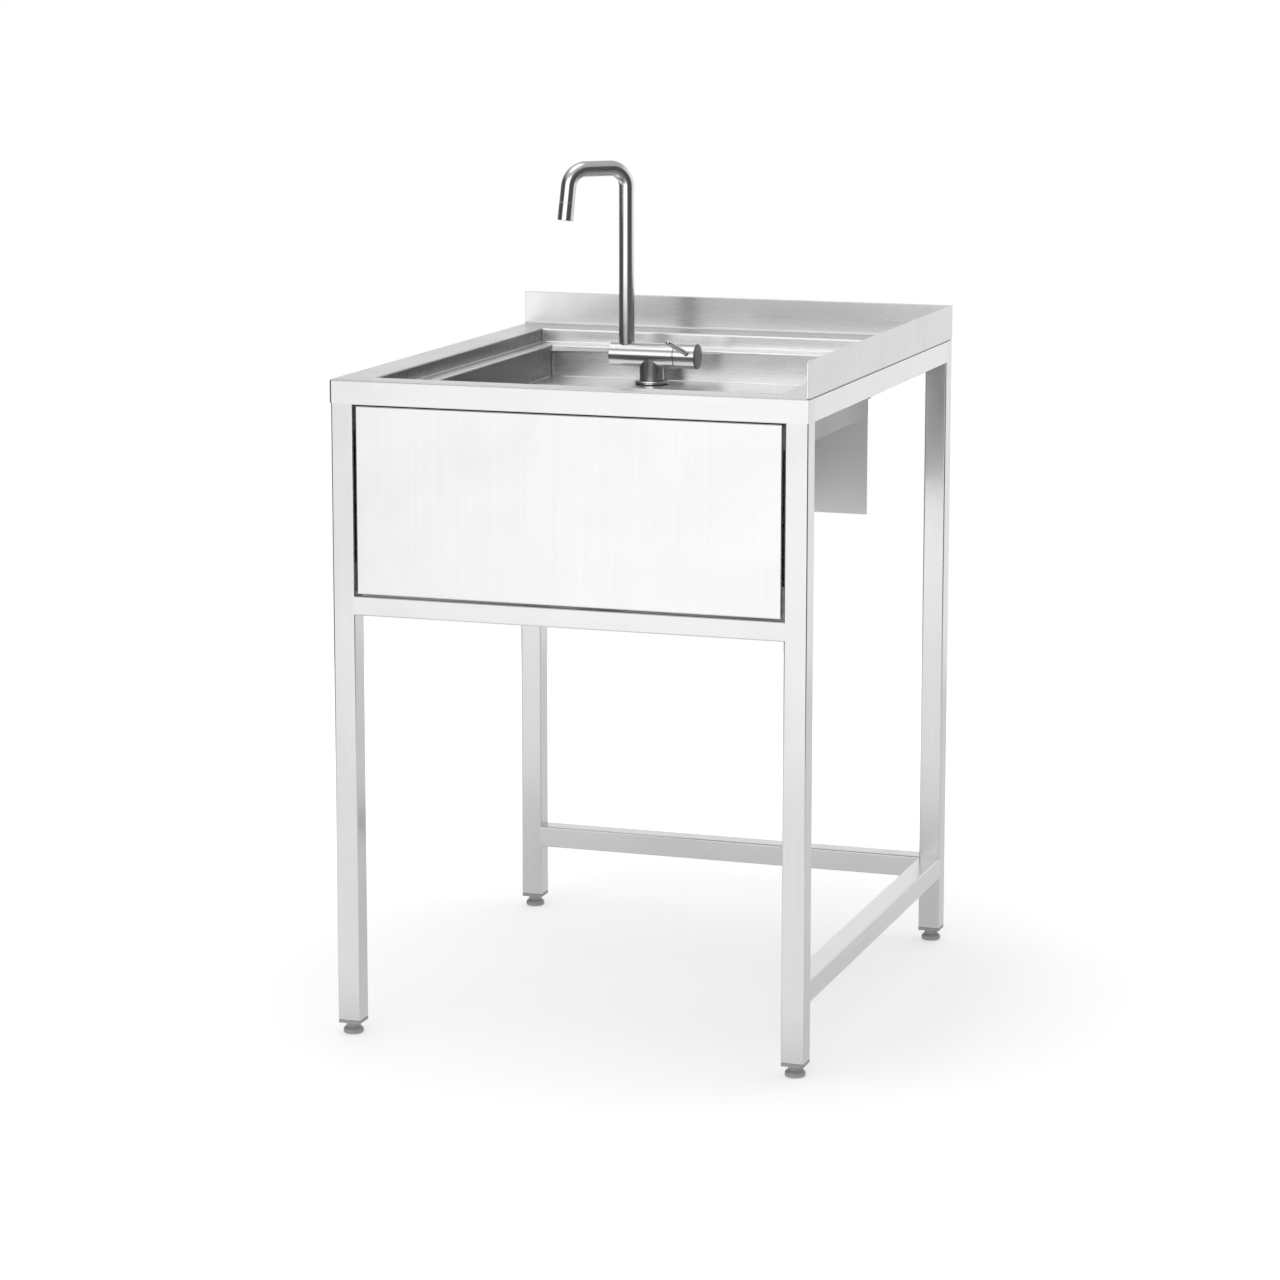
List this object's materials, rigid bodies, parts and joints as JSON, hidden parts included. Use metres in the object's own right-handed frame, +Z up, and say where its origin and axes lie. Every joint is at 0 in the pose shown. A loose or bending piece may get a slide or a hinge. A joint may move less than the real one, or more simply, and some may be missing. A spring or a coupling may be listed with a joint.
{
  "type": "portable handwash sink",
  "caption": "Free-standing steel handwash sink on a square-tube stand, with a stepped recess, basin, front panel, side-lever tap and levelling feet.",
  "frame": {"origin": "on the floor, under the centre of the worktop, in metres", "axes": "+Z up, front towards -Y, +X to the right when facing the front panel"},
  "size_m": [0.63, 0.72, 1.1031],
  "materials": {
    "stand_steel": "square tube brushed along its length, welds ground and polished",
    "top_steel": "bright fine-brushed sheet",
    "tap_steel": "satin, turned",
    "end_disc": "dark satin disc",
    "brass": "machined",
    "grey_plastic": "moulded, matt",
    "white_plastic": "moulded",
    "rubber": "matt",
    "sealant": "matt sealing tape"
  },
  "bodies": {
    "stand": {"bedding_tape": "sealant", "cartridge_nut": "brass", "front_panel": "top_steel", "inlet_tail_cold": "brass", "inlet_tail_hot": "brass", "leg_back_left": "stand_steel", "leg_back_right": "stand_steel", "leg_front_left": "stand_steel", "leg_front_right": "stand_steel", "leg_plug_back_left": "grey_plastic", "leg_plug_back_right": "grey_plastic", "leg_plug_front_left": "grey_plastic", "leg_plug_front_right": "grey_plastic", "panel_bracket_left": "stand_steel", "panel_bracket_right": "stand_steel", "panel_screw_1": "stand_steel", "panel_screw_2": "stand_steel", "panel_screw_3": "stand_steel", "panel_screw_4": "stand_steel", "rail_bottom_back": "stand_steel", "rail_bottom_right": "stand_steel", "rail_lower_front": "stand_steel", "rail_top_back": "stand_steel", "rail_top_front": "stand_steel", "rail_top_left": "stand_steel", "rail_top_right": "stand_steel", "rear_skirt": "stand_steel", "recess_tray": "top_steel", "sink_bowl": "top_steel", "tap_backnut": "brass", "tap_base_ring": "tap_steel", "tap_base_seal": "rubber", "tap_body": "tap_steel", "tap_cartridge": "white_plastic", "tap_clamp_seal": "rubber", "tap_clamp_washer": "stand_steel", "tap_shank": "brass", "waste_backnut": "white_plastic", "waste_coupling_nut": "white_plastic", "waste_flange": "top_steel", "waste_lower_seal": "rubber", "waste_tail": "white_plastic", "waste_upper_seal": "rubber", "worktop": "top_steel"},
    "spout": {"aerator": "tap_steel", "aerator_insert": "white_plastic", "spout_seal_lower": "rubber", "spout_seal_upper": "rubber", "spout_spigot": "white_plastic", "spout_tube": "tap_steel"},
    "foot_body_back_left": {"foot_back_left": "grey_plastic"},
    "foot_body_back_right": {"foot_back_right": "grey_plastic"},
    "foot_body_front_left": {"foot_front_left": "grey_plastic"},
    "foot_body_front_right": {"foot_front_right": "grey_plastic"},
    "handle": {"handle_end_cap": "end_disc", "handle_sleeve": "tap_steel", "handle_stem": "brass", "lever_pin": "tap_steel"},
    "strainer": {"strainer_basket": "top_steel"},
    "spindle": {"tap_spindle": "brass"}
  },
  "joints": [
    {"name": "foot_front_left_adjust", "type": "slide", "parent": "stand", "child": "foot_body_front_left", "axis": [0, 0, -1], "range_m": [0, 0.02]},
    {"name": "foot_front_right_adjust", "type": "slide", "parent": "stand", "child": "foot_body_front_right", "axis": [0, 0, -1], "range_m": [0, 0.02]},
    {"name": "foot_back_left_adjust", "type": "slide", "parent": "stand", "child": "foot_body_back_left", "axis": [0, 0, -1], "range_m": [0, 0.02]},
    {"name": "foot_back_right_adjust", "type": "slide", "parent": "stand", "child": "foot_body_back_right", "axis": [0, 0, -1], "range_m": [0, 0.02]},
    {"name": "strainer_lift", "type": "slide", "parent": "stand", "child": "strainer", "axis": [0, 0, 1], "range_m": [0, 0.12]},
    {"name": "spout_swivel", "type": "hinge", "parent": "stand", "child": "spout", "pos_m": [-0.1134, 0.218, 0.873], "axis": [0, 0, 1], "continuous": true},
    {"name": "handle_turn", "type": "hinge", "parent": "stand", "child": "spindle", "pos_m": [-0.077, 0.218, 0.834], "axis": [-1, 0, 0], "range_deg": [-45, 60]},
    {"name": "handle_rock", "type": "hinge", "parent": "spindle", "child": "handle", "pos_m": [-0.0448, 0.218, 0.834], "axis": [0, 0.3338, 0.9426], "range_deg": [0, 10]}
  ]
}
